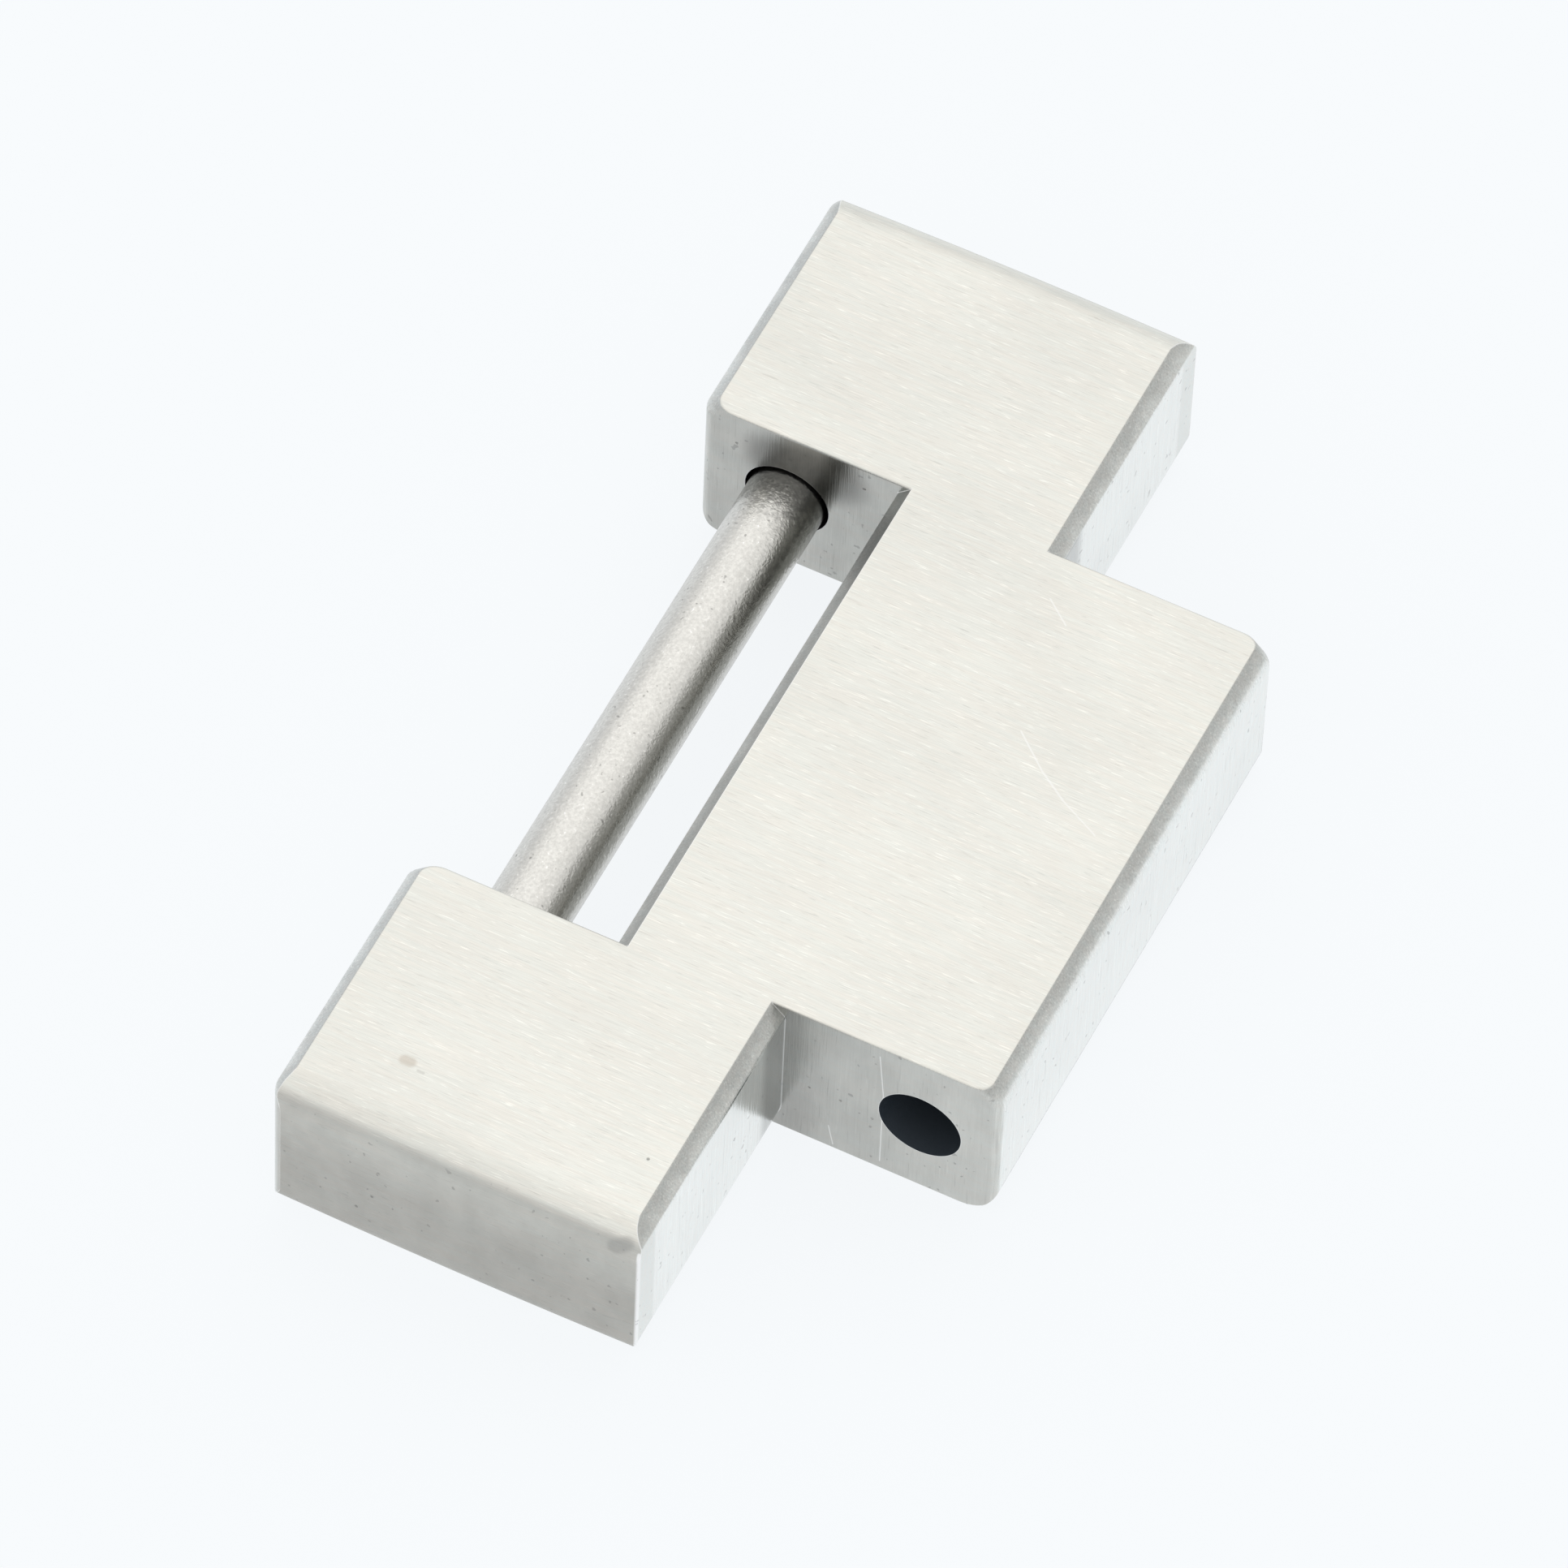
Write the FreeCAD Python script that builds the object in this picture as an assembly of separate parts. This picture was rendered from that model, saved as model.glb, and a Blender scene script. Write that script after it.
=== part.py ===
import FreeCAD, Part

import math
import os

# Steel bracelet link: a forked body, a turned tube across the fork and the screw that holds it.
# Millimetres. X runs across the bracelet, Y along it with the fork at +Y, Z up to the brushed face.
# The origin is at the middle of the link's length and width, on its underside.

# Link body
link_width = 22.0
link_thickness = 3.55
fork_gap = 11.0
tongue_side_clearance = 0.075
pivot_pitch = 8.0
bar_to_fork_end = 1.74
bar_to_web = 2.14
bore_to_shoulder = 2.63
bore_to_nose = 1.51

# Bevels and rounded edges of the body
ear_bevel = 0.25
shoulder_bevel = 0.28
web_bevel = 0.25
nose_bevel = 0.29
bevel_blend = 0.12
nose_blend = 0.45
fork_foot_radius = 0.50
shoulder_foot_radius = 0.65
web_foot_radius = 0.30
nose_foot_radius = 0.70
end_radius = 0.60
edge_break = 0.05

# Rounded upright corners, and the slight crown of the outer ends
ear_corner_radius = 0.30
end_corner_radius = 0.40
end_shoulder_radius = 0.10
tongue_corner_radius = 0.25
end_crown_radius = 160.0

# Tube and the bores round it
tube_diameter = 1.50
tube_bore_clearance = 0.03
tube_edge_bevel = 0.08
ear_bore_clearance = 0.075
tongue_bore_clearance = 0.03
tube_seat_depth = 1.20
tube_end_clearance = 0.05

# Screw: slotted head, plain shank through the tube, threaded tip in the blind hole
screw_diameter = 1.00
shank_relief = 0.02
thread_length = 2.60
thread_clearance = 0.02
tip_bevel = 0.15
drill_run_out = 0.45
drill_point_angle = 118.0
head_diameter = 2.10
head_height = 0.70
head_bevel = 0.10
head_sink = 0.08
head_side_clearance = 0.06
slot_width = 0.32
slot_depth = 0.30

# Places worked out from the sizes above
tongue_width = fork_gap - 2 * tongue_side_clearance
link_length = bar_to_fork_end + pivot_pitch + bore_to_nose
fork_y = link_length / 2
bar_y = fork_y - bar_to_fork_end
web_y = bar_y - bar_to_web
bore_y = bar_y - pivot_pitch
shoulder_y = bore_y + bore_to_shoulder
nose_y = bore_y - bore_to_nose
axis_z = link_thickness / 2
outer_x = link_width / 2
ear_x = fork_gap / 2
seat_x = -ear_x - tube_seat_depth
head_seat_x = outer_x - head_sink - head_height
tip_x = seat_x - thread_length
tube_start_x = seat_x + tube_end_clearance
tube_end_x = head_seat_x - tube_end_clearance

# A cutter runs this far past the face that it opens
overshoot = 1.0


def rounded_wire(corners, place):
    """Closed outline through corners (a, b, radius); place turns (a, b) into a point in space."""
    starts, ends, edges = [], [], []
    count = len(corners)
    for i in range(count):
        a, b, radius = corners[i]
        here = FreeCAD.Vector(a, b, 0)
        before = FreeCAD.Vector(corners[i - 1][0], corners[i - 1][1], 0)
        after = FreeCAD.Vector(corners[(i + 1) % count][0], corners[(i + 1) % count][1], 0)
        back = (before - here).normalize()
        ahead = (after - here).normalize()
        half_angle = back.getAngle(ahead) / 2
        run = radius / math.tan(half_angle)
        starts.append(here + back * run)
        ends.append(here + ahead * run)
        if radius > 0:
            middle = (back + ahead).normalize()
            centre = here + middle * (radius / math.sin(half_angle))
            crown = centre - middle * radius
            arc = Part.Arc(place(starts[i]), place(crown), place(ends[i]))
            edges.append(arc.toShape())
    for i in range(count):
        edges.append(Part.makeLine(place(ends[i]), place(starts[(i + 1) % count])))
    return Part.Wire(Part.__sortEdges__(edges))


def prism_along_x(corners, x_from, x_to):
    """Solid with a side outline of (y, z, radius) corners, from x_from to x_to."""
    wire = rounded_wire(corners, lambda p: FreeCAD.Vector(x_from, p.x, p.y))
    return Part.Face(wire).extrude(FreeCAD.Vector(x_to - x_from, 0, 0))


def upright_edges(block, x, y):
    """Edges of a block that stand upright at this x and y."""
    found = []
    for edge in block.Edges:
        if all(abs(v.Point.x - x) < 1e-4 and abs(v.Point.y - y) < 1e-4 for v in edge.Vertexes):
            found.append(edge)
    return found


def cornered_prism(outline, x_from, x_to, corners):
    """Prism along X with its upright corners (x, y, radius) rounded before its feet are cut."""
    square_footed = [(y, z, 0 if z == 0 else radius) for y, z, radius in outline]
    block = prism_along_x(square_footed, x_from, x_to)
    for x, y, radius in corners:
        block = block.makeFillet(radius, upright_edges(block, x, y))
    return block.common(prism_along_x(outline, x_from - overshoot, x_to + overshoot))


def turned(outline, y):
    """Solid of revolution about the X axis at this y and mid thickness, from (x, radius) points."""
    points = [FreeCAD.Vector(x, y, axis_z + radius) for x, radius in outline]
    face = Part.Face(Part.makePolygon(points + points[:1]))
    return face.revolve(FreeCAD.Vector(0, y, axis_z), FreeCAD.Vector(1, 0, 0), 360)


def cylinder_along_x(radius, x_from, x_to, y):
    """Plain cylinder along X at this y and mid thickness."""
    base = FreeCAD.Vector(x_from, y, axis_z)
    return Part.makeCylinder(radius, x_to - x_from, base, FreeCAD.Vector(1, 0, 0))


def ear_outline():
    """Side outline of an ear: shoulder bevel and foot at -Y, fork bevel and foot at +Y."""
    top = link_thickness
    return [
        (shoulder_y, 0, shoulder_foot_radius),
        (fork_y, 0, fork_foot_radius),
        (fork_y, top - ear_bevel, bevel_blend),
        (fork_y - ear_bevel, top, 0),
        (shoulder_y + shoulder_bevel, top, 0),
        (shoulder_y, top - shoulder_bevel, bevel_blend),
    ]


def web_outline():
    """Side outline of the web between the ears, with the same shoulder as theirs."""
    top = link_thickness
    return [
        (shoulder_y, 0, shoulder_foot_radius),
        (web_y, 0, web_foot_radius),
        (web_y, top - web_bevel, 0),
        (web_y - web_bevel, top, 0),
        (shoulder_y + shoulder_bevel, top, 0),
        (shoulder_y, top - shoulder_bevel, bevel_blend),
    ]


def tongue_outline():
    """Side outline of the tongue, rooted in the middle of the web."""
    top = link_thickness
    root_y = (shoulder_y + web_y) / 2
    return [
        (nose_y, 0, nose_foot_radius),
        (root_y, 0, 0),
        (root_y, top, 0),
        (nose_y + nose_bevel, top, 0),
        (nose_y, top - nose_bevel, nose_blend),
    ]


def make_ear(side):
    """One ear with its rounded upright corners, at -X for side -1 and at +X for side 1."""
    x_from, x_to = sorted([side * ear_x, side * outer_x])
    return cornered_prism(ear_outline(), x_from, x_to, [
        (side * ear_x, fork_y, ear_corner_radius),
        (side * outer_x, fork_y, end_corner_radius),
        (side * outer_x, shoulder_y, end_shoulder_radius),
    ])


def make_tongue():
    """The tongue with the two rounded corners of its nose."""
    half_width = tongue_width / 2
    return cornered_prism(tongue_outline(), -half_width, half_width, [
        (-half_width, nose_y, tongue_corner_radius),
        (half_width, nose_y, tongue_corner_radius),
    ])


def make_end_disc(side):
    """Flat disc with a rounded rim, which gives one outer end its crown and its round edges."""
    centre_x = side * (outer_x - end_crown_radius)
    middle_y = (fork_y + shoulder_y) / 2
    section = [
        (0, 0, 0),
        (end_crown_radius, 0, end_radius),
        (end_crown_radius, link_thickness, end_radius),
        (0, link_thickness, 0),
    ]
    wire = rounded_wire(section, lambda p: FreeCAD.Vector(centre_x + side * p.x, middle_y, p.y))
    axis_foot = FreeCAD.Vector(centre_x, middle_y, 0)
    return Part.Face(wire).revolve(axis_foot, FreeCAD.Vector(0, 0, 1), 360)


def crisp_top_edges(body):
    """Top edges that run along Y: the inner edges of the ears and the two sides of the tongue."""
    found = []
    for edge in body.Edges:
        first, last = edge.Vertexes[0].Point, edge.Vertexes[-1].Point
        on_top = all(abs(p.z - link_thickness) < 1e-5 for p in (first, last))
        along_y = abs(first.x - last.x) < 1e-5 and abs(first.y - last.y) > edge_break
        if on_top and along_y and abs(first.x) < outer_x - end_radius - edge_break:
            found.append(edge)
    return found


def make_screw_hole():
    """Everything that is drilled along the tube's axis, from the outer face at +X inwards."""
    bore_radius = tube_diameter / 2 + ear_bore_clearance
    counterbore_radius = head_diameter / 2 + head_side_clearance
    thread_radius = screw_diameter / 2 + thread_clearance
    drill_end_x = tip_x - drill_run_out
    point_x = drill_end_x - thread_radius / math.tan(math.radians(drill_point_angle / 2))
    return turned([
        (point_x, 0),
        (drill_end_x, thread_radius),
        (seat_x, thread_radius),
        (seat_x, bore_radius),
        (head_seat_x, bore_radius),
        (head_seat_x, counterbore_radius),
        (outer_x + overshoot, counterbore_radius),
        (outer_x + overshoot, 0),
    ], bar_y)


def make_link_body():
    """One machined piece: two ears, the web between them and the tongue."""
    web = prism_along_x(web_outline(), -ear_x, ear_x)
    body = web.fuse([make_ear(-1), make_ear(1), make_tongue()]).removeSplitter()
    body = body.makeFillet(edge_break, crisp_top_edges(body))
    body = body.common(make_end_disc(-1)).common(make_end_disc(1))
    tongue_bore = cylinder_along_x(
        tube_diameter / 2 + tongue_bore_clearance,
        -tongue_width / 2 - tongue_side_clearance,
        tongue_width / 2 + tongue_side_clearance,
        bore_y,
    )
    return body.cut([tongue_bore, make_screw_hole()])


def make_pivot_tube():
    """The tube that the next link turns on, with broken outer edges."""
    outer = tube_diameter / 2
    inner = screw_diameter / 2 + tube_bore_clearance
    return turned([
        (tube_start_x, inner),
        (tube_start_x, outer - tube_edge_bevel),
        (tube_start_x + tube_edge_bevel, outer),
        (tube_end_x - tube_edge_bevel, outer),
        (tube_end_x, outer - tube_edge_bevel),
        (tube_end_x, inner),
    ], bar_y)


def make_link_screw():
    """The screw: slotted head at +X, shank through the tube, tip in the blind hole at -X."""
    thread_radius = screw_diameter / 2
    shank_radius = thread_radius - shank_relief
    head_radius = head_diameter / 2
    head_top_x = head_seat_x + head_height
    screw = turned([
        (tip_x, 0),
        (tip_x, thread_radius - tip_bevel),
        (tip_x + tip_bevel, thread_radius),
        (seat_x, thread_radius),
        (seat_x, shank_radius),
        (head_seat_x, shank_radius),
        (head_seat_x, head_radius),
        (head_top_x - head_bevel, head_radius),
        (head_top_x, head_radius - head_bevel),
        (head_top_x, 0),
    ], bar_y)
    slot = Part.makeBox(
        slot_depth + overshoot,
        head_diameter + 2 * overshoot,
        slot_width,
        FreeCAD.Vector(
            head_top_x - slot_depth,
            bar_y - head_radius - overshoot,
            axis_z - slot_width / 2,
        ),
    )
    return screw.cut(slot)


os.makedirs("parts", exist_ok=True)
PIECES = {
    "link_body": make_link_body(),
    "pivot_tube": make_pivot_tube(),
    "link_screw": make_link_screw(),
}
for name, shape in PIECES.items():
    shape.exportStep("parts/" + name + ".step")
    print(name, "solids", len(shape.Solids), "volume", round(shape.Volume, 3), "valid", shape.isValid())
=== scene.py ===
# %% [markdown]
# # A link of a steel watch bracelet
# This lesson dresses one loose bracelet link: a forked steel body, a blasted tube across its fork and the
# screw inside the tube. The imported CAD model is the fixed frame. It gives the shapes and the places, and
# Blender adds the camera, the light, the finishes and the screw's thread and slot.

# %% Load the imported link
import math

import bmesh
import bpy
from mathutils import Matrix, Vector


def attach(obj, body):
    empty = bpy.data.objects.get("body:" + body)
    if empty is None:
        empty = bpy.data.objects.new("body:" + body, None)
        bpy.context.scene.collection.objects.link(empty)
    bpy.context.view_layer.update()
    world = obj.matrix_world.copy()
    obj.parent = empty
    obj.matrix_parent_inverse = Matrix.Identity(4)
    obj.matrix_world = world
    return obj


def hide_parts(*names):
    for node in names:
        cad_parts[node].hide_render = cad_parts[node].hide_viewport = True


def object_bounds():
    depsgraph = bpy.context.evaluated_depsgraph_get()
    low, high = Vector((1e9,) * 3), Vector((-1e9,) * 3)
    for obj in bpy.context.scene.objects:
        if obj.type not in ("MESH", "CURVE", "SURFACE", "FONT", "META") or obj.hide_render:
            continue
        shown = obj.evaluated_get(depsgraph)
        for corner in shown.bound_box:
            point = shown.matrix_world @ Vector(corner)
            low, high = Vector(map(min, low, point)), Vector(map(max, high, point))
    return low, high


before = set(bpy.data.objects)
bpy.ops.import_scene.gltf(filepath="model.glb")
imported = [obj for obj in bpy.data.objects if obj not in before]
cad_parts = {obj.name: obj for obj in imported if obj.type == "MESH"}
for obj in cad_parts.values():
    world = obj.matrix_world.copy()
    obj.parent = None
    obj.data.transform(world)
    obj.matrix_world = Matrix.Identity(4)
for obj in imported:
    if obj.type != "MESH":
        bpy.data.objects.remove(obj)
MM = 0.001
cad_low, cad_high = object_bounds()
print("link, mm:", [round(side / MM, 2) for side in cad_high - cad_low])
print("nodes:", sorted(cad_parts))

# %% [markdown]
# ## Sizes of the link
# A finish asks where a place on the link is: on the top, beside the tongue, inside a bore. The lengths
# behind those questions are the link's own, in mm. X runs along the bar that the next link turns on, Y runs
# along the bracelet from the tongue to the fork, and Z is up from the table.

# %% Sizes of the link
half_width, ear_inner_x, tongue_side_x = 11.0, 5.50, 5.425
counterbore_floor_x = 10.22
shoulder_y, bar_y, tongue_bore_y = -1.485, 3.885, -4.115
top_z, axis_z = 3.55, 1.775
tongue_bore_radius = 0.785
print("bar to bore, mm:", bar_y - tongue_bore_y)

# %% [markdown]
# ## The camera
# Small parts are photographed with a long lens from well back, so that their edges stay nearly parallel.
# The camera looks down on the link along a heading in the table's plane, and is tipped a little to one
# side. Those angles could be found by turning the view by hand. Here they were fitted to the link's many
# straight edges, which fix the place, the turn and the lens together.

# %% Camera
heading, elevation, tip = math.radians(24.249), math.radians(54.473), math.radians(2.761)
aim = Vector((-0.0625, 1.166, axis_z)) * MM
stand_off = 272.44 * MM
forward = Vector((math.cos(heading), math.sin(heading), 0.0)) * math.cos(elevation)
forward.z = -math.sin(elevation)
level_right = Vector((math.sin(heading), -math.cos(heading), 0.0))
level_up = level_right.cross(forward)
picture_right = level_right * math.cos(tip) + level_up * math.sin(tip)
picture_up = level_up * math.cos(tip) - level_right * math.sin(tip)
camera_data = bpy.data.cameras.new("photo_camera")
camera_data.sensor_width = 36.0
camera_data.lens = 358.54
camera_data.clip_start = 0.01
camera_data.clip_end = 20.0
camera = bpy.data.objects.new("photo_camera", camera_data)
bpy.context.scene.collection.objects.link(camera)
camera_turn = Matrix((picture_right, picture_up, -forward)).transposed()
camera.matrix_world = Matrix.Translation(aim - forward * stand_off) @ camera_turn.to_4x4()
bpy.context.scene.camera = camera
bpy.context.scene.view_settings.view_transform = "Standard"
print("camera stands off, mm:", round(stand_off / MM))

# %% [markdown]
# ## Shader helpers
# A finish is a chain of shader nodes. A few small helpers keep each chain short: one adds a node and fills
# its sockets with numbers or with other nodes' outputs, one does a sum, and the others fade, mix and shade.
# Writing them once is easier to follow than hundreds of lines that add and link single nodes.


# %% Node helpers
def fill(tree, node, sockets):
    """Fills a node's sockets; sockets maps a socket's name or number to a value or to an output."""
    for name, value in sockets.items():
        if isinstance(value, bpy.types.NodeSocket):
            tree.links.new(value, node.inputs[name])
        else:
            node.inputs[name].default_value = value


def add_node(tree, kind, sockets=None, **settings):
    """Adds one node to a tree, with its settings made and its sockets filled."""
    made = tree.nodes.new(kind)
    for name, value in settings.items():
        setattr(made, name, value)
    fill(tree, made, sockets or {})
    return made


def work_out(tree, operation, first, second=0.0, third=0.0):
    """One sum on numbers or outputs."""
    return add_node(tree, "ShaderNodeMath", {0: first, 1: second, 2: third}, operation=operation).outputs[0]


def all_of(tree, first, *others):
    """Masks multiplied: 1 only where every one of them is 1."""
    for other in others:
        first = work_out(tree, "MULTIPLY", first, other)
    return first


# %% Fades and mixes
def fade(tree, value, start, end, low=0.0, high=1.0):
    """Goes smoothly from low to high while value goes from start to end."""
    sockets = {"Value": value, "From Min": start, "From Max": end, "To Min": low, "To Max": high}
    made = add_node(tree, "ShaderNodeMapRange", sockets, interpolation_type="SMOOTHSTEP")
    return made.outputs["Result"]


def spread(tree, noise, low, high):
    """Spreads noise, which lies mostly between 0.3 and 0.7, over low to high."""
    return fade(tree, noise, 0.3, 0.7, low, high)


def blend_numbers(tree, share, first, second):
    """Mixes two numbers by a share from 0 to 1."""
    return add_node(tree, "ShaderNodeMix", {0: share, 2: first, 3: second}).outputs[0]


def blend_colours(tree, share, first, second, way="MIX"):
    """Mixes two colours by a share from 0 to 1; a Mix node has its two colours in sockets 6 and 7."""
    sockets = {0: share, 6: first, 7: second}
    return add_node(tree, "ShaderNodeMix", sockets, data_type="RGBA", blend_type=way).outputs[2]


def grey_of(tree, tone):
    """A grey colour from one output."""
    return add_node(tree, "ShaderNodeCombineColor", {0: tone, 1: tone, 2: tone}).outputs[0]


def shade(tree, colour, tone):
    """Makes a colour lighter or darker by a tone that is 1 where it stays as it is."""
    return blend_colours(tree, 1.0, colour, grey_of(tree, tone), "MULTIPLY")


def lay_over(tree, colour, mask, strength, upper):
    """Lays an upper colour over a colour where a mask is, as strongly as strength says."""
    return blend_colours(tree, work_out(tree, "MULTIPLY", mask, strength), colour, upper)


# %% [markdown]
# ## The table
# The link lies on a bright white table that shows no edge, as in a shop photograph. A plane lit by lamps
# alone would turn grey away from them. So the table glows white to the camera and to the steel that
# mirrors it, and a small part of it stays plain paint, which keeps the link's soft shadow.

# %% Table
white_of_table = (0.945, 0.970, 0.990, 1.0)
half_table, gap_below_link, glow_part = 3.0, 0.02 * MM, 0.9
table_mesh = bmesh.new()
bmesh.ops.create_grid(table_mesh, x_segments=1, y_segments=1, size=half_table)
table_data = bpy.data.meshes.new("table")
table_mesh.to_mesh(table_data)
table_mesh.free()
table = bpy.data.objects.new("table", table_data)
bpy.context.scene.collection.objects.link(table)
table.location.z = cad_low.z - gap_below_link

table_paint = bpy.data.materials.new("white_table")
table_paint.use_nodes = True
tree = table_paint.node_tree
tree.nodes.clear()
paint = add_node(tree, "ShaderNodeBsdfDiffuse", {"Color": white_of_table})
glow = add_node(tree, "ShaderNodeEmission", {"Color": white_of_table, "Strength": 1.0})
ray = add_node(tree, "ShaderNodeLightPath")
seen = work_out(tree, "MAXIMUM", ray.outputs["Is Camera Ray"], ray.outputs["Is Glossy Ray"])
seen = work_out(tree, "MAXIMUM", seen, ray.outputs["Is Transmission Ray"])
glow_share = work_out(tree, "MULTIPLY", seen, glow_part)
surface = add_node(tree, "ShaderNodeMixShader", {0: glow_share, 1: paint.outputs[0], 2: glow.outputs[0]})
add_node(tree, "ShaderNodeOutputMaterial", {"Surface": surface.outputs[0]})
table_data.materials.append(table_paint)
print("table side, m:", 2 * half_table)

# %% [markdown]
# ## The light
# Steel shows what stands round it, so its light is set by reading the photograph backwards. No face of
# the link goes black and no lamp shows as a shape, so the link lay in a tent of white cloth. A ring of
# lamps could stand in for the tent, but each would show in the tube as a stripe. A world that is white
# overhead and a little dimmer near the table has no outline, and one soft lamp gives it a direction.

# %% World
world = bpy.data.worlds.new("light_tent")
bpy.context.scene.world = world
world.use_nodes = True
tree = world.node_tree
tree.nodes.clear()
direction = add_node(tree, "ShaderNodeTexCoord").outputs["Generated"]
height = add_node(tree, "ShaderNodeSeparateXYZ", {0: direction}).outputs["Z"]
cloth_at_table, cloth_overhead = (0.74, 0.75, 0.76, 1.0), (0.95, 0.945, 0.93, 1.0)
cloth = blend_colours(tree, fade(tree, height, 0.0, 0.75), cloth_at_table, cloth_overhead)
light = add_node(tree, "ShaderNodeBackground", {"Color": cloth, "Strength": 1.0})
add_node(tree, "ShaderNodeOutputWorld", {"Surface": light.outputs[0]})
print("tent at the table and overhead:", cloth_at_table[0], cloth_overhead[0])


# %% Lamps
def soft_lamp(name, towards, distance, width, brightness):
    """A square soft light that faces the link; brightness 1 looks as bright as white paint."""
    data = bpy.data.lights.new(name, "AREA")
    data.shape = "SQUARE"
    data.size = width
    data.energy = brightness * math.pi * width * width
    lamp = bpy.data.objects.new(name, data)
    bpy.context.scene.collection.objects.link(lamp)
    place = Vector(towards).normalized() * distance
    lamp.matrix_world = Matrix.Translation(place) @ (-place).to_track_quat("-Z", "Y").to_matrix().to_4x4()
    print(name, "power, W:", round(data.energy, 3))


soft_lamp("tent_lamp", towards=(0.53, 0.24, 0.81), distance=0.5, width=0.4, brightness=0.15)

# %% [markdown]
# ## One start for every steel
# All three pieces are bare steel: fully metallic, with no paint and no lacquer. What differs is how each
# was cut, so each finish starts from the same few nodes and then gets its own marks.


# %% Start of a steel
def start_steel(name):
    """An empty metal finish.

    Gives its material, tree and shader, the place on the piece in mm, and the direction of each face.
    """
    material = bpy.data.materials.new(name)
    material.use_nodes = True
    tree = material.node_tree
    tree.nodes.clear()
    shader = add_node(tree, "ShaderNodeBsdfPrincipled", {"Metallic": 1.0})
    add_node(tree, "ShaderNodeOutputMaterial", {"Surface": shader.outputs[0]})
    coordinates = add_node(tree, "ShaderNodeTexCoord")
    sockets = {"Vector": coordinates.outputs["Object"], "Scale": (1 / MM, 1 / MM, 1 / MM)}
    place = add_node(tree, "ShaderNodeMapping", sockets)
    return material, tree, shader, place.outputs[0], coordinates.outputs["Normal"]


def split(tree, vector):
    """The three parts of a vector, as outputs."""
    return add_node(tree, "ShaderNodeSeparateXYZ", {0: vector}).outputs


# %% Marks on a steel
def lines(tree, place, per_mm, detail=2.0, shift=0.0):
    """Noise drawn out into lines; per_mm is how many changes there are in a millimetre each way."""
    sockets = {"Vector": place, "Scale": per_mm, "Location": (shift, shift, shift)}
    stretched = add_node(tree, "ShaderNodeMapping", sockets)
    sockets = {"Vector": stretched.outputs[0], "Scale": 1.0, "Detail": detail, "Roughness": 0.55}
    return add_node(tree, "ShaderNodeTexNoise", sockets).outputs[0]


def agreement_of_edges(tree, width, samples):
    """1 on a flat face, less within a width, in mm, of an edge."""
    rounded = add_node(tree, "ShaderNodeBevel", {"Radius": width * MM}, samples=samples).outputs[0]
    true = add_node(tree, "ShaderNodeNewGeometry").outputs["Normal"]
    sockets = {0: rounded, 1: true}
    return add_node(tree, "ShaderNodeVectorMath", sockets, operation="DOT_PRODUCT").outputs["Value"]


def add_relief(tree, shader, height, depth):
    """Lets a height tilt the shading; depth is how deep the marks are, in mm."""
    sockets = {"Height": height, "Strength": 1.0, "Distance": depth * MM}
    fill(tree, shader, {"Normal": add_node(tree, "ShaderNodeBump", sockets).outputs[0]})


def dress(node_name, material):
    """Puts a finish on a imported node."""
    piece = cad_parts[node_name]
    if not piece.material_slots:
        piece.data.materials.append(material)
    for slot in piece.material_slots:
        slot.material = material
    print(node_name, "wears", material.name)


# %% [markdown]
# ## Which way each face was worked
# The top and the outer ends were drawn over an abrasive belt along the link, so their lines run along Y.
# The sides of the ears and of the tongue were cut by the side of a mill and show fine upright lines. One
# image could be wrapped round the body, but then its lines would bend over the edges. Masks made from the
# place and the direction of each face let every face keep the lines of its own tool.

# %% Body: faces
brushed, tree, shader, place, facing = start_steel("brushed_steel")
x, y, z = split(tree, place)
nx, ny, nz = split(tree, facing)
tilt_x, tilt_y, tilt_z = [work_out(tree, "ABSOLUTE", part) for part in (nx, ny, nz)]
from_middle = work_out(tree, "ABSOLUTE", x)
level = fade(tree, tilt_z, 0.80, 0.93)
outer_end = fade(tree, from_middle, half_width - 0.70, half_width - 0.58)
along_y = work_out(tree, "MAXIMUM", level, outer_end)
side_starts = fade(tree, outer_end, 0.0, 1.0, 0.30, 0.62)
side_face = fade(tree, tilt_x, side_starts, 1.00)
flank = fade(tree, tilt_y, 0.80, 0.97)
sloping = fade(tree, tilt_y, 0.25, 0.50)
bevel = all_of(tree, sloping, fade(tree, tilt_y, 0.97, 0.85))
upright = work_out(tree, "MAXIMUM", side_face, flank)
print("body masks: top, outer ends, side faces, flanks, bevels")

# %% [markdown]
# ## Lines of the belt and of the mill
# A belt leaves thousands of hairlines, and here and there a grain digs deeper and leaves a short bright or
# grey dash. Noise that is squeezed across the stroke and drawn out along it gives both: as it is for the
# hairlines, and cut off near its peaks for the dashes.

# %% Body: lines
belt_per_mm, mill_per_mm = 70.0, 34.0
belt_lines = lines(tree, place, (belt_per_mm, 1.6, belt_per_mm), detail=3.0)
mill_lines = lines(tree, place, (mill_per_mm, mill_per_mm, 0.8), shift=40.0)
worked = blend_numbers(tree, along_y, mill_lines, belt_lines)
belt_dashes = lines(tree, place, (52.0, 2.6, 52.0), detail=1.0, shift=90.0)
mill_dashes = lines(tree, place, (30.0, 30.0, 1.1), detail=1.0, shift=70.0)
dashes = blend_numbers(tree, along_y, mill_dashes, belt_dashes)
light_dashes = fade(tree, dashes, 0.66, 0.71)
dark_dashes = fade(tree, dashes, 0.33, 0.28)
print("lines of the belt and of the mill, to a mm:", belt_per_mm, mill_per_mm)

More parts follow.
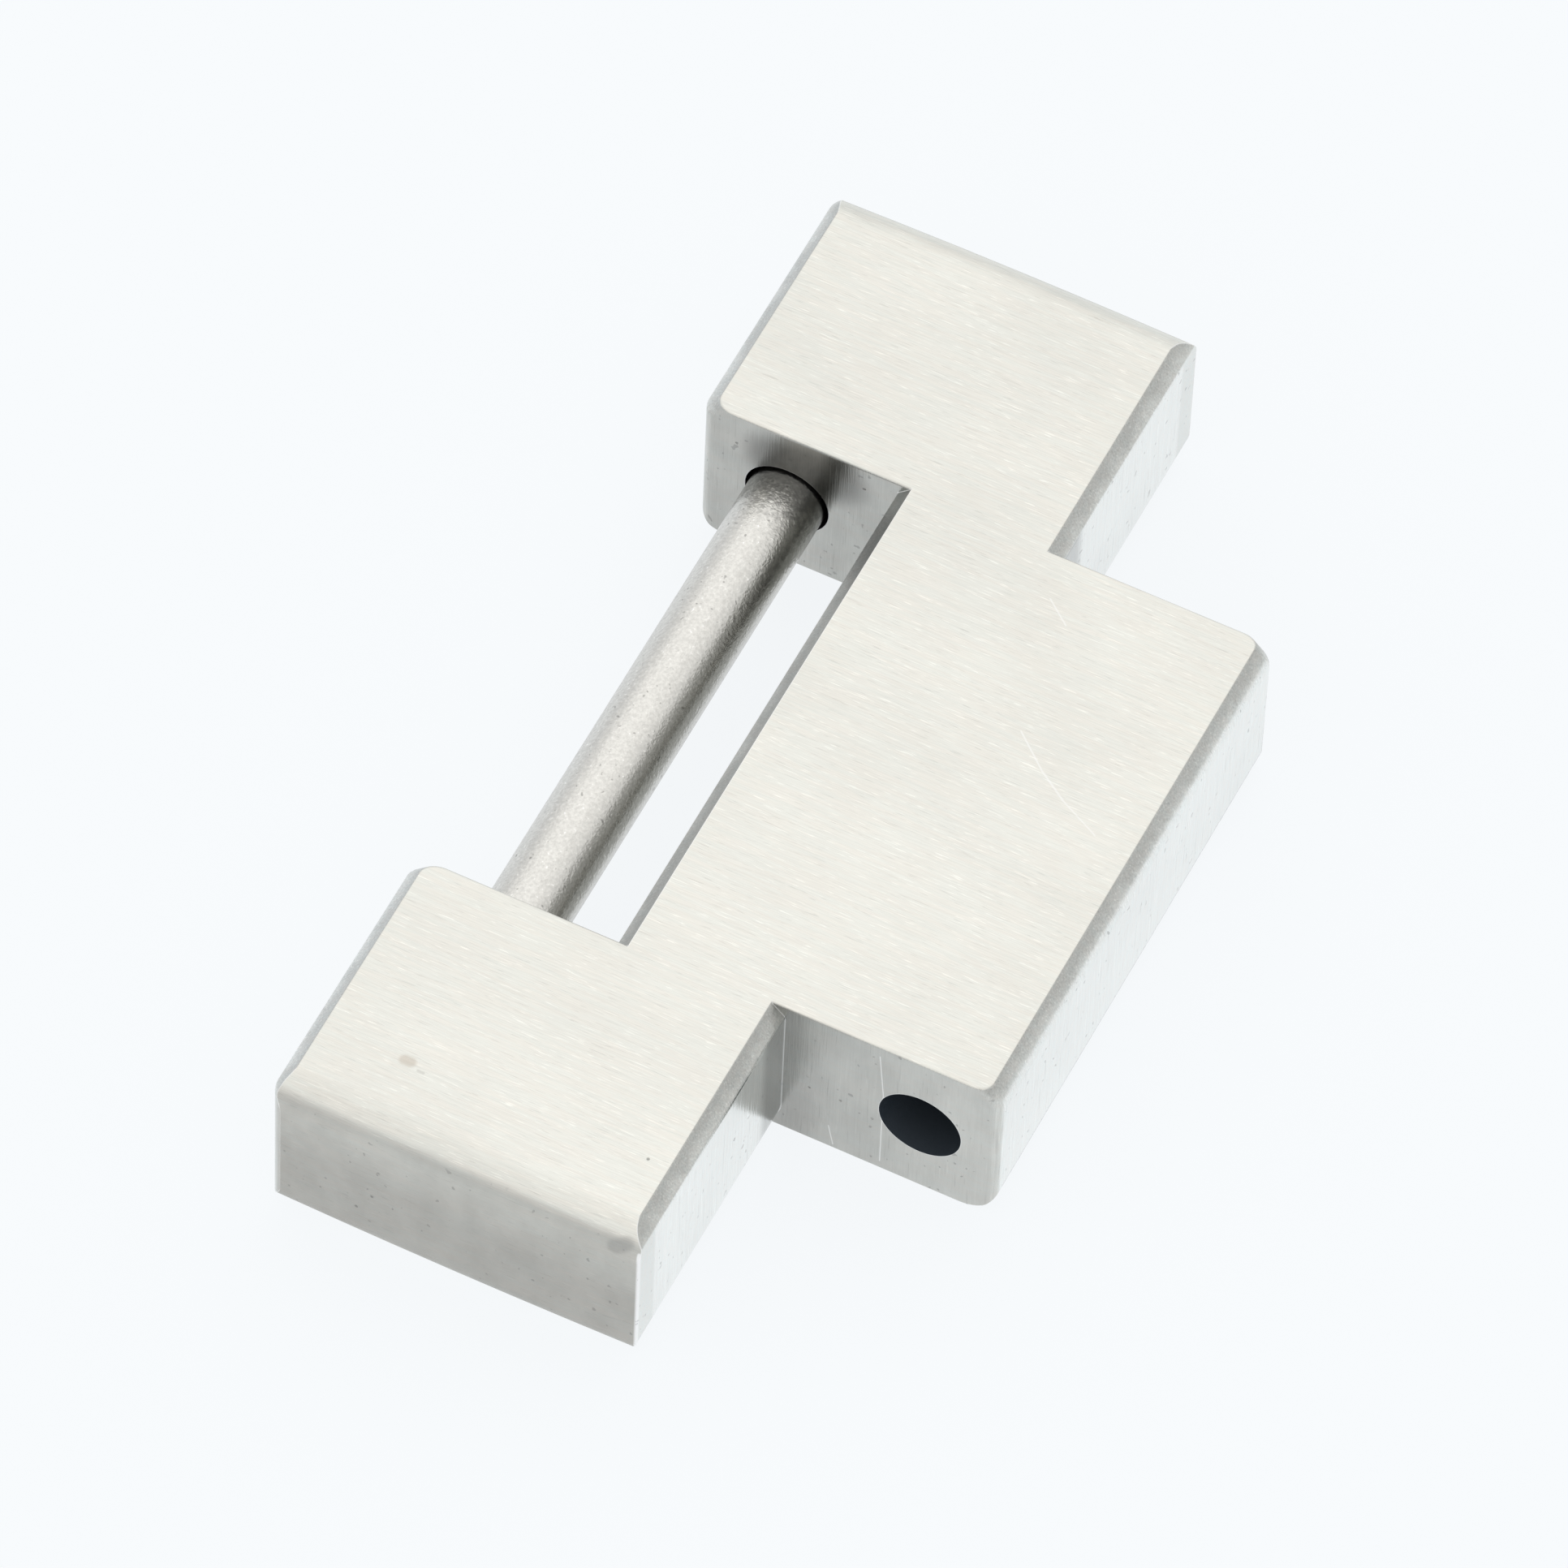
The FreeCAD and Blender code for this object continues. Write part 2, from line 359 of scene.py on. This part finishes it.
# %% [markdown]
# ## Colours of the faces
# Bare steel has one colour, but a belt, a mill and a polishing wheel leave it brighter or greyer, and that
# also depends on how open the cut is. The colours below are set face by face, and besides the finish they
# hold painted light and shade: the top is bright and a little warm, the bevels and sides are painted
# greyer, the web behind the tube darker still, the outer ends lighter towards the top, and the flanks,
# which stand across the light, are painted almost white. Slow clouds and a faint warm and green tint keep
# the large faces from looking printed.

# %% Body: colours by face
# Painted light and shade as well as finish: faces that catch more light are painted lighter.
top_steel = (0.835, 0.828, 0.785, 1.0)
shoulder_bevel_steel = (0.635, 0.640, 0.618, 1.0)
fork_bevel_steel = (0.690, 0.702, 0.695, 1.0)
shaded_web_bevel_steel = (0.480, 0.485, 0.475, 1.0)
shaded_side_steel = (0.500, 0.500, 0.480, 1.0)
shaded_end_steel = (0.475, 0.465, 0.440, 1.0)
lit_upper_end_steel = (0.565, 0.558, 0.528, 1.0)
lit_flank_steel = (0.865, 0.880, 0.870, 1.0)
print("top and outer end:", top_steel[:3], shaded_end_steel[:3])

# %% Body: each face gets its colour
between_ears = work_out(tree, "LESS_THAN", from_middle, ear_inner_x)
on_web = all_of(tree, between_ears, work_out(tree, "GREATER_THAN", y, 1.2))
faces_fork = work_out(tree, "GREATER_THAN", ny, 0.0)
bevel_steel = blend_colours(tree, faces_fork, shoulder_bevel_steel, fork_bevel_steel)
bevel_steel = blend_colours(tree, on_web, bevel_steel, shaded_web_bevel_steel)
colour = blend_colours(tree, sloping, top_steel, bevel_steel)
colour = blend_colours(tree, flank, colour, lit_flank_steel)
# Painted shade: the web's wall behind the tube takes the darker side colour, which the tube mirrors as a
# dark band.
colour = blend_colours(tree, all_of(tree, on_web, flank), colour, shaded_side_steel)
colour = blend_colours(tree, side_face, colour, shaded_side_steel)
# Painted light: the outer ends are painted lighter towards the top.
end_colour = blend_colours(tree, fade(tree, z, 1.6, 3.1), shaded_end_steel, lit_upper_end_steel)
colour = blend_colours(tree, all_of(tree, outer_end, side_face), colour, end_colour)
print("colour masks: web, bevels, flanks, side faces, outer ends")

# %% Body: clouds and lines
clouds = lines(tree, place, (0.35, 0.25, 0.35), detail=3.0, shift=10.0)
side_clouds = lines(tree, place, (1.6, 1.6, 1.1), detail=4.0, shift=60.0)
hairline, light_dash, faint_dash, dark_dash = 0.055, 0.16, 0.07, -0.12
towards_far_end = fade(tree, x, -8.0, 8.0, 0.012, -0.022)
# Painted light: the tongue's sides are painted lighter towards its nose, away from the shoulder's shade.
painted_light_towards_nose = all_of(tree, side_face, fade(tree, y, -3.0, -5.0, 0.0, 0.15))
line_part = fade(tree, upright, 0.0, 1.0, 1.0, 0.55)
line_depth = all_of(tree, spread(tree, worked, -hairline, hairline), line_part)
dash_depth = fade(tree, upright, 0.0, 1.0, light_dash, faint_dash)
tone = work_out(tree, "ADD", spread(tree, clouds, 0.97, 1.02), towards_far_end)
tone = work_out(tree, "ADD", tone, painted_light_towards_nose)
tone = work_out(tree, "ADD", tone, line_depth)
tone = work_out(tree, "MULTIPLY_ADD", light_dashes, dash_depth, tone)
tone = work_out(tree, "MULTIPLY_ADD", dark_dashes, dark_dash, tone)
tone = work_out(tree, "MULTIPLY_ADD", side_face, spread(tree, side_clouds, -0.05, 0.05), tone)
colour = shade(tree, colour, tone)
print("how much a hairline and a dash change the tone:", hairline, light_dash, dark_dash)

# %% [markdown]
# The bevels show short lines, as a grinding wheel leaves, and their upper rim is painted greyer than their
# lower one, a painted shade across the bevel. A height that wanders a little with the clouds keeps that
# change from being a straight band.

# %% Body: bevels and tints
bevel_height = work_out(tree, "MULTIPLY_ADD", spread(tree, side_clouds, -1.0, 1.0), 0.06, z)
# Painted shade: the upper rim of each bevel is painted greyer.
bevel_shade_and_marks = fade(tree, bevel_height, top_z - 0.28, top_z - 0.05, 1.10, 0.86)
bevel_marks = fade(tree, mill_dashes, 0.35, 0.65, -1.0, 1.0)
bevel_shade_and_marks = work_out(tree, "MULTIPLY_ADD", bevel_marks, 0.05, bevel_shade_and_marks)
colour = blend_colours(tree, bevel, colour, shade(tree, colour, bevel_shade_and_marks))
warm_tint, green_tint, tint_strength = (1.0, 0.988, 0.970, 1.0), (0.985, 1.0, 0.992, 1.0), 0.8
tint_lines = lines(tree, place, (9.0, 0.8, 9.0), detail=1.0, shift=150.0)
tint = blend_colours(tree, fade(tree, tint_lines, 0.35, 0.65), warm_tint, green_tint)
colour = blend_colours(tree, tint_strength, colour, tint, "MULTIPLY")
print("tints:", warm_tint[:3], green_tint[:3])

# %% [markdown]
# ## Bright edges, painted
# Fingers and neighbouring links rub the edges of a link first, and a rounded edge catches the light, so a
# thin
# painted highlight lies along each edge: part wear, part painted light.
# Each edge could be traced by hand. The Bevel node finds them all: it gives the direction that a face
# would have if its edges were rounded, and only close to an edge does that differ from the real one.

# %% Body: edges
highlight_width, edge_highlight_strength = 0.032, 0.9
edge = fade(tree, agreement_of_edges(tree, highlight_width, samples=8), 0.998, 0.965, 0.0, edge_highlight_strength)
# Painted highlight: a near white line along every edge, partly wear.
colour = blend_colours(tree, edge, colour, (0.98, 0.98, 0.97, 1.0))
print("polished edge width, mm:", highlight_width)

# %% [markdown]
# ## Marks of wear
# A used link carries a few marks: pits where something hard pressed in, fine scratches across the brushing
# and one brown spot. Their places come from the photograph, to about a tenth of a mm. A scratch is a
# short line with round ends on the steel and a pit is a dot, so two helpers make them all: each measures
# the distance to the mark and fades out over its width.


# %% Mark helpers
def gap_between(tree, first, second):
    """The distance between two places."""
    sockets = {0: first, 1: second}
    return add_node(tree, "ShaderNodeVectorMath", sockets, operation="DISTANCE").outputs["Value"]


def mark(tree, place, start, end, width):
    """1 on a line with round ends from start to end, 0 away from it; all in mm."""
    run = Vector(end) - Vector(start)
    offset = add_node(tree, "ShaderNodeVectorMath", {0: place, 1: start}, operation="SUBTRACT").outputs[0]
    sockets = {0: offset, 1: run / run.length_squared}
    share = add_node(tree, "ShaderNodeVectorMath", sockets, operation="DOT_PRODUCT").outputs["Value"]
    share = work_out(tree, "MAXIMUM", work_out(tree, "MINIMUM", share, 1.0), 0.0)
    nearest = add_node(tree, "ShaderNodeVectorMath", {0: run, "Scale": share}, operation="SCALE").outputs[0]
    return fade(tree, gap_between(tree, offset, nearest), width, width * 0.4)


def pit(tree, place, spot, width):
    """1 in a small round pit, 0 away from it; all in mm."""
    return fade(tree, gap_between(tree, place, spot), width, width * 0.4)


def strongest(tree, marks):
    """The strongest of several marks at each place."""
    total = marks[0]
    for other in marks[1:]:
        total = work_out(tree, "MAXIMUM", total, other)
    return total


# %% Body: scratches
near_tongue_x = -tongue_side_x
scratch_parts = [
    mark(tree, place, (1.7, -2.5, top_z), (1.1, -3.2, top_z), 0.022),
    mark(tree, place, (1.1, -3.2, top_z), (0.7, -3.8, top_z), 0.026),
    mark(tree, place, (0.7, -3.8, top_z), (0.3, -4.6, top_z), 0.020),
    mark(tree, place, (4.5, -1.7, top_z), (4.1, -2.2, top_z), 0.020),
    mark(tree, place, (near_tongue_x, -3.3, 3.3), (near_tongue_x, -3.4, 2.2), 0.016),
    mark(tree, place, (near_tongue_x, -3.4, 2.2), (near_tongue_x, -3.4, 0.2), 0.016),
    mark(tree, place, (near_tongue_x, -2.4, 0.6), (near_tongue_x, -2.5, 0.1), 0.016),
]
colour = lay_over(tree, colour, strongest(tree, scratch_parts), 0.50, (0.97, 0.97, 0.96, 1.0))
print("scratches, in short lines:", len(scratch_parts))

# %% Body: painted highlights on the outer corners
# Painted highlight: a near white line down each outer end's corner by the shoulder.
corner_x, corner_y = half_width - 0.07, shoulder_y + 0.029
corner_highlights = [
    mark(tree, place, (side * corner_x, corner_y, 3.2), (side * corner_x, corner_y, 0.2), 0.055)
    for side in (-1, 1)
]
colour = lay_over(tree, colour, strongest(tree, corner_highlights), 0.85, (1.0, 1.0, 1.0, 1.0))
print("rubbed corners:", len(corner_highlights))

# %% Body: pits
pit_dots = [
    pit(tree, place, (-9.3, -0.8, top_z), 0.035),
    pit(tree, place, (-half_width, 5.3, 1.8), 0.050),
    pit(tree, place, (-half_width, 3.6, 1.6), 0.045),
    pit(tree, place, (-half_width, 3.9, 1.1), 0.045),
    pit(tree, place, (-half_width, 4.6, 1.2), 0.035),
    pit(tree, place, (-7.3, shoulder_y, 2.0), 0.040),
    pit(tree, place, (-10.1, shoulder_y, 1.9), 0.035),
    pit(tree, place, (near_tongue_x, -2.6, 1.5), 0.035),
    pit(tree, place, (near_tongue_x, -2.0, 1.5), 0.030),
    pit(tree, place, (ear_inner_x, 4.9, 2.8), 0.035),
    pit(tree, place, (ear_inner_x, 2.4, 3.0), 0.035),
]
pits = strongest(tree, pit_dots)
colour = lay_over(tree, colour, pits, 0.55, (0.14, 0.14, 0.13, 1.0))
print("pits:", len(pit_dots))

# %% Body: spots
brown_spot = mark(tree, place, (-9.4, 3.8, top_z), (-9.4, 3.7, top_z), 0.150)
brown_tail = mark(tree, place, (-9.5, 3.5, top_z), (-9.5, 3.4, top_z), 0.040)
# Painted shade: a dark spot near the top of the near end, by its corner at the shoulder.
corner_shade_spot = mark(tree, place, (-10.8, -1.2, 3.25), (-10.9, -1.0, 3.15), 0.200)
colour = lay_over(tree, colour, brown_spot, 0.30, (0.36, 0.26, 0.17, 1.0))
colour = lay_over(tree, colour, brown_tail, 0.25, (0.30, 0.28, 0.26, 1.0))
colour = lay_over(tree, colour, corner_shade_spot, 0.30, (0.20, 0.20, 0.20, 1.0))
print("spots: a brown one with a tail, and a smudge")

# %% [markdown]
# ## Painted shade in the inner corners
# The corners beside the tongue and above the tube on the far ear lie in shade and mirror darker parts, so
# they are painted a dark grey: painted shade and painted reflection. It is strongest close to the corner,
# and the place on the link says where that is.

# %% Body: inner corners
shade_reach = 0.95
past_tongue = work_out(tree, "SUBTRACT", from_middle, tongue_side_x)
below_shoulder = work_out(tree, "SUBTRACT", shoulder_y, y)
outside_tongue = work_out(tree, "GREATER_THAN", past_tongue, 0.0)
on_tongue = work_out(tree, "LESS_THAN", past_tongue, 0.05)
on_shoulder = all_of(tree, flank, work_out(tree, "LESS_THAN", y, -1.2), outside_tongue)
shoulder_shade = all_of(tree, fade(tree, past_tongue, shade_reach, 0.60), on_shoulder)
tongue_end_shade = all_of(tree, fade(tree, below_shoulder, 1.3, 0.1), side_face, on_tongue)
shade_above_tube = mark(tree, place, (ear_inner_x, 4.05, 2.75), (ear_inner_x, 3.05, 2.95), shade_reach)
# Painted shade and painted reflection: the inner corners are darkened towards near black.
painted_shade = work_out(tree, "MULTIPLY", shoulder_shade, 0.40)
painted_shade = work_out(tree, "MULTIPLY_ADD", tongue_end_shade, 0.27, painted_shade)
painted_shade = work_out(tree, "MULTIPLY_ADD", all_of(tree, shade_above_tube, side_face), 0.52, painted_shade)
colour = blend_colours(tree, painted_shade, colour, (0.045, 0.045, 0.045, 1.0))
print("grey film, mm from the corner:", shade_reach)

# %% Body: grit
grit_per_mm = 7.0
grit_noise = add_node(tree, "ShaderNodeTexNoise", {"Vector": place, "Scale": grit_per_mm, "Detail": 1.0})
grit = all_of(tree, fade(tree, grit_noise.outputs[0], 0.285, 0.25), upright)
colour = lay_over(tree, colour, grit, 0.35, (0.12, 0.12, 0.12, 1.0))
print("grit noise, to a mm:", grit_per_mm)

# %% [markdown]
# ## Inside the bores
# The tongue's bore is reamed and never polished, and inside it is coloured a blue black and is not
# metallic. It can't be left as bare steel, which would mirror the white tent straight through the hole. The
# stepped hole for the tube and the screw keeps the rings of its drill.


# %% Body: tongue's bore
def from_axis(tree, y, z, axis_y):
    """Distance from an axis along X at half the link's height."""
    dy = work_out(tree, "SUBTRACT", y, axis_y)
    dz = work_out(tree, "SUBTRACT", z, axis_z)
    squares = work_out(tree, "MULTIPLY_ADD", dy, dy, work_out(tree, "MULTIPLY", dz, dz))
    return work_out(tree, "SQRT", squares)


in_bore = work_out(tree, "LESS_THAN", from_axis(tree, y, z, tongue_bore_y), tongue_bore_radius)
colour = blend_colours(tree, in_bore, colour, (0.034, 0.046, 0.060, 1.0))
bare = work_out(tree, "SUBTRACT", 1.0, in_bore)
print("dark bore, mm:", 2 * tongue_bore_radius)

# %% Body: drilled rings
counterbore_reach, seat_reach, rings_per_mm = 1.12, 0.835, 22.0
from_bar = from_axis(tree, y, z, bar_y)
before_far_end = work_out(tree, "LESS_THAN", x, half_width - 0.10)
past_near_end = work_out(tree, "GREATER_THAN", x, 0.50 - half_width)
past_floor = fade(tree, x, counterbore_floor_x - 0.17, counterbore_floor_x - 0.07)
near_counterbore = work_out(tree, "LESS_THAN", from_bar, counterbore_reach)
in_counterbore = all_of(tree, past_floor, before_far_end, near_counterbore)
in_seat = all_of(tree, past_near_end, work_out(tree, "LESS_THAN", from_bar, seat_reach))
drilled = work_out(tree, "MAXIMUM", in_seat, in_counterbore)
ring_place = add_node(tree, "ShaderNodeCombineXYZ", {0: x, 1: from_bar}).outputs[0]
drill_rings = lines(tree, ring_place, (rings_per_mm, rings_per_mm, rings_per_mm))
ring_tone = fade(tree, drill_rings, 0.35, 0.65, 0.36, 0.50)
colour = blend_colours(tree, drilled, colour, grey_of(tree, ring_tone))
print("drilled rings to a mm:", rings_per_mm)

# %% [markdown]
# The last step joins the finish to its shader. The open cut of the belt scatters light more widely than the
# close one of the mill, so the top and the outer ends are rougher than the sides and the flanks. The same
# lines that colour the steel also tilt its shading, by a few thousandths of a mm, and the pits sink in.

# %% Body: shader
top_rough = spread(tree, worked, 0.32, 0.42)
end_rough = work_out(tree, "ADD", top_rough, 0.06)
rough = blend_numbers(tree, side_face, top_rough, spread(tree, worked, 0.20, 0.27))
rough = blend_numbers(tree, flank, rough, spread(tree, worked, 0.15, 0.21))
rough = blend_numbers(tree, outer_end, rough, end_rough)
rough = work_out(tree, "MULTIPLY_ADD", in_bore, 0.3, rough)
relief = work_out(tree, "MULTIPLY_ADD", dashes, 0.6, worked)
relief = work_out(tree, "MULTIPLY_ADD", pits, -4.0, relief)
relief = blend_numbers(tree, drilled, relief, drill_rings)
add_relief(tree, shader, relief, depth=0.0025)
fill(tree, shader, {"Metallic": bare, "Base Color": colour, "Roughness": rough})
dress("link_body", brushed)

# %% [markdown]
# ## The blasted tube
# Fine glass beads were blown at the tube, so that it takes wear from the next link evenly. Each bead
# leaves a dent a few hundredths of a millimetre wide. Modelling the dents would take millions of faces,
# so noise tilts the shading instead. Its highest places are also painted lighter, as painted glints, and
# its lowest become the dark pits.

# %% Tube: grain
blasted, tree, shader, place, facing = start_steel("blasted_steel")
dents_per_mm, spots_per_mm = 15.0, 10.0
x = split(tree, place)["X"]
ny = split(tree, facing)["Y"]
sockets = {"Vector": place, "Scale": dents_per_mm, "Detail": 3.0, "Roughness": 0.6}
grain = add_node(tree, "ShaderNodeTexNoise", sockets).outputs[0]
sockets = {"Vector": place, "Scale": spots_per_mm, "Detail": 1.0}
spots = add_node(tree, "ShaderNodeTexNoise", sockets).outputs[0]
tone = spread(tree, grain, 0.88, 1.05)
# Painted glints: the highest places of the grain are painted lighter.
tone = work_out(tree, "MULTIPLY_ADD", fade(tree, grain, 0.655, 0.74), 0.45, tone)
tone = work_out(tree, "MULTIPLY_ADD", fade(tree, spots, 0.30, 0.23), -0.38, tone)
colour = shade(tree, (0.80, 0.79, 0.755, 1.0), tone)
print("dents and spots to a mm:", dents_per_mm, spots_per_mm)

# %% [markdown]
# The two sides of the tube are painted a little darker than its top, a painted shade. Close to the far ear,
# where the ear keeps the light off it, the same painted shade lies on it as on the ear, with an uneven rim,
# and it stops inside the ear's bore.

# %% Tube: painted shade and shader
# Painted shade: the tube's two sides are painted darker than its top.
fork_shade = fade(tree, ny, 0.25, 0.85, 1.0, 0.84)
tongue_shade = fade(tree, ny, -0.30, -0.72, 1.0, 0.80)
colour = shade(tree, colour, all_of(tree, fork_shade, tongue_shade))
# Painted shade near the far ear, with an uneven rim.
near_ear = work_out(tree, "ADD", x, spread(tree, spots, -0.25, 0.25))
before_bore = fade(tree, x, ear_inner_x + 0.40, ear_inner_x + 0.05)
painted_shade = all_of(tree, fade(tree, near_ear, 4.35, 5.45, 0.0, 0.62), before_bore)
colour = blend_colours(tree, painted_shade, colour, (0.10, 0.10, 0.10, 1.0))
add_relief(tree, shader, grain, depth=0.010)
fill(tree, shader, {"Base Color": colour, "Roughness": 0.23})
dress("pivot_tube", blasted)

# %% [markdown]
# ## The screw: its outline
# The screw is turned from a thin rod: a slotted head, a plain shank that fills the tube, and a thread at
# the tip. A lathe cuts it by holding an outline against the turning rod, and the spin operator does the
# same: it sweeps the outline once round the axis and joins the last step to the first.

# %% Screw: sizes and lathe
tip_x, shank_x, seat_x, head_x = -9.30, -6.70, counterbore_floor_x, 10.92
crest, root, shank, head = 0.50, 0.365, 0.48, 1.05
core = root - 0.003
whole_turn, lathe_steps = 2 * math.pi, 72
axis_point = Vector((0.0, bar_y, axis_z)) * MM


def outline(made, corners):
    """Joins (x, radius) corners, in mm, to a chain of edges above the bar's axis."""
    points = [made.verts.new(Vector((x, bar_y, axis_z + radius)) * MM) for x, radius in corners]
    return points + [made.edges.new(pair) for pair in zip(points, points[1:])]


screw_mesh = bmesh.new()
rod = outline(screw_mesh, [
    (tip_x, 0.0), (tip_x, core), (shank_x - 0.08, core), (shank_x, shank), (seat_x - 0.05, shank),
    (seat_x, shank + 0.05), (seat_x, head - 0.03), (seat_x + 0.03, head), (head_x - 0.10, head),
    (head_x - 0.03, head - 0.04), (head_x, head - 0.10), (head_x, 0.0),
])
bmesh.ops.spin(
    screw_mesh, geom=rod, cent=axis_point, axis=(1, 0, 0),
    angle=whole_turn, steps=lathe_steps, use_merge=True,
)
bmesh.ops.remove_doubles(screw_mesh, verts=screw_mesh.verts, dist=0.0001 * MM)
print("turned faces:", len(screw_mesh.faces))

# %% [markdown]
# ## The screw: its slot
# A saw cuts the slot across the finished head. A cutter block could be subtracted, but a boolean leaves
# uneven faces round the slot. Two cuts along its sides and one at its floor mark it out on the head. The
# faces inside are then taken away, and the walls and the floor are filled in between the open edges.

# %% Screw: slot marked out and sawn
slot_floor_x, half_slot, same_place = 10.62, 0.16, 1e-4


def cut_through(made, point, direction, clear_inner=False):
    """Cuts every face of a mesh along a plane, and can clear away what lies behind it."""
    everything = made.verts[:] + made.edges[:] + made.faces[:]
    point = Vector(point) * MM
    bmesh.ops.bisect_plane(
        made, geom=everything, dist=1e-8, plane_co=point, plane_no=direction, clear_inner=clear_inner,
    )


cut_through(screw_mesh, (0, 0, axis_z - half_slot), (0, 0, 1))
cut_through(screw_mesh, (0, 0, axis_z + half_slot), (0, 0, 1))
cut_through(screw_mesh, (slot_floor_x, 0, 0), (1, 0, 0))
sawn = []
for face in screw_mesh.faces:
    centre = face.calc_center_median() / MM
    if centre.x > slot_floor_x and abs(centre.z - axis_z) < half_slot:
        sawn.append(face)
bmesh.ops.delete(screw_mesh, geom=sawn, context="FACES")
print("faces sawn out:", len(sawn))


# %% Screw: walls and floor of the slot
def lie_at(edges, axis, place):
    """The edges that lie wholly at one place on an axis, in mm."""
    return [edge for edge in edges if all(abs(v.co[axis] / MM - place) < same_place for v in edge.verts)]


open_edges = [edge for edge in screw_mesh.edges if edge.is_boundary]
floor_rims = lie_at(open_edges, 0, slot_floor_x)
floor_sides = []
for level_z in (axis_z - half_slot, axis_z + half_slot):
    ends = {v for edge in floor_rims for v in edge.verts if abs(v.co.z / MM - level_z) < same_place}
    floor_sides.append(screw_mesh.edges.new(sorted(ends, key=lambda v: v.co.y)))
    bmesh.ops.edgenet_fill(screw_mesh, edges=lie_at(open_edges, 2, level_z) + floor_sides[-1:])
bmesh.ops.edgenet_fill(screw_mesh, edges=floor_rims + floor_sides)
print("edges still open:", sum(edge.is_boundary for edge in screw_mesh.edges))

# %% [markdown]
# ## The screw: its thread
# A thread is one tooth that is carried round the rod while it moves along it. The spin operator does that
# when it also gets a small step along the axis. The tooth has the 60 degree flanks of a metric thread with
# a pitch of 0.25 mm, and it runs right-handed, so that the screw comes out when it turns to the left.

# %% Screw: thread
pitch, turns, steps_a_turn = 0.25, 12, 36
root_flat, flank_run, crest_flat = 0.031, 0.078, 0.032
first_x = tip_x - pitch
rise_x = first_x + root_flat
fall_x = rise_x + flank_run + crest_flat
thread_mesh = bmesh.new()
tooth = outline(thread_mesh, [
    (first_x, root), (rise_x, root), (rise_x + flank_run, crest),
    (fall_x, crest), (fall_x + flank_run, root), (first_x + pitch, root),
])
bmesh.ops.spin(
    thread_mesh, geom=tooth, cent=axis_point, axis=(1, 0, 0), angle=whole_turn * turns,
    dvec=(pitch * MM / steps_a_turn, 0, 0), steps=steps_a_turn * turns, use_merge=False,
)
bmesh.ops.remove_doubles(thread_mesh, verts=thread_mesh.verts, dist=0.0005 * MM)
print("thread faces:", len(thread_mesh.faces))

# %% [markdown]
# The tooth starts before the tip and ends inside the shank, so that its two raw ends never show. What
# stands before the tip is cut away. The crest is let down to a cone at the tip, as on a real screw, which
# has to find its hole, and it sinks into the shank at the other end.

# %% Screw: ends of the thread
under_core, under_shank = 0.002, 0.004
cut_through(thread_mesh, (tip_x, 0, 0), (1, 0, 0), clear_inner=True)
for corner in thread_mesh.verts:
    along = corner.co.x / MM
    foot = Vector((corner.co.x, axis_point.y, axis_point.z))
    outward = corner.co - foot
    allowed = min(crest, core - under_core + along - tip_x)
    if along > shank_x - 0.02:
        allowed = min(allowed, shank - under_shank)
    if outward.length > allowed * MM:
        corner.co = foot + outward.normalized() * allowed * MM
thread_data = bpy.data.meshes.new("screw_thread")
thread_mesh.to_mesh(thread_data)
thread_mesh.free()
screw_mesh.from_mesh(thread_data)
print("screw faces:", len(screw_mesh.faces))

# %% Screw: piece
bmesh.ops.recalc_face_normals(screw_mesh, faces=screw_mesh.faces)
for face in screw_mesh.faces:
    face.smooth = True
for edge in screw_mesh.edges:
    edge.smooth = edge.calc_face_angle(0.0) < math.radians(25)
screw_data = bpy.data.meshes.new("slotted_screw")
screw_mesh.to_mesh(screw_data)
screw_mesh.free()
screw = bpy.data.objects.new("slotted_screw", screw_data)
bpy.context.scene.collection.objects.link(screw)
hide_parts("link_screw")
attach(screw, "screw")
print("screw size, mm:", [round(side / MM, 3) for side in screw.dimensions])

# %% [markdown]
# ## The screw: its finish
# A lathe tool leaves rings: circles on the head's face and fine hoops along the shank. Both come from one
# noise that is read by the place along the axis and the distance from it, and never by the turn round it.

# %% Screw: turned steel
turned, tree, shader, place = start_steel("turned_steel")[:4]
x, y, z = split(tree, place)
tool_per_mm, highlight_width = 26.0, 0.02
ring_place = add_node(tree, "ShaderNodeCombineXYZ", {0: x, 1: from_axis(tree, y, z, bar_y)}).outputs[0]
tool_rings = lines(tree, ring_place, (tool_per_mm, tool_per_mm, tool_per_mm), detail=3.0, shift=20.0)
colour = shade(tree, (1.0, 0.99, 0.95, 1.0), spread(tree, tool_rings, 0.50, 0.68))
# Painted highlight: the screw's edges are painted near white, partly wear.
edge = fade(tree, agreement_of_edges(tree, highlight_width, samples=6), 0.995, 0.95, 0.0, 0.6)
colour = blend_colours(tree, edge, colour, (0.92, 0.92, 0.90, 1.0))
add_relief(tree, shader, tool_rings, depth=0.002)
fill(tree, shader, {"Base Color": colour, "Roughness": spread(tree, tool_rings, 0.22, 0.34)})
screw_data.materials.append(turned)
print("rings to a mm:", tool_per_mm)
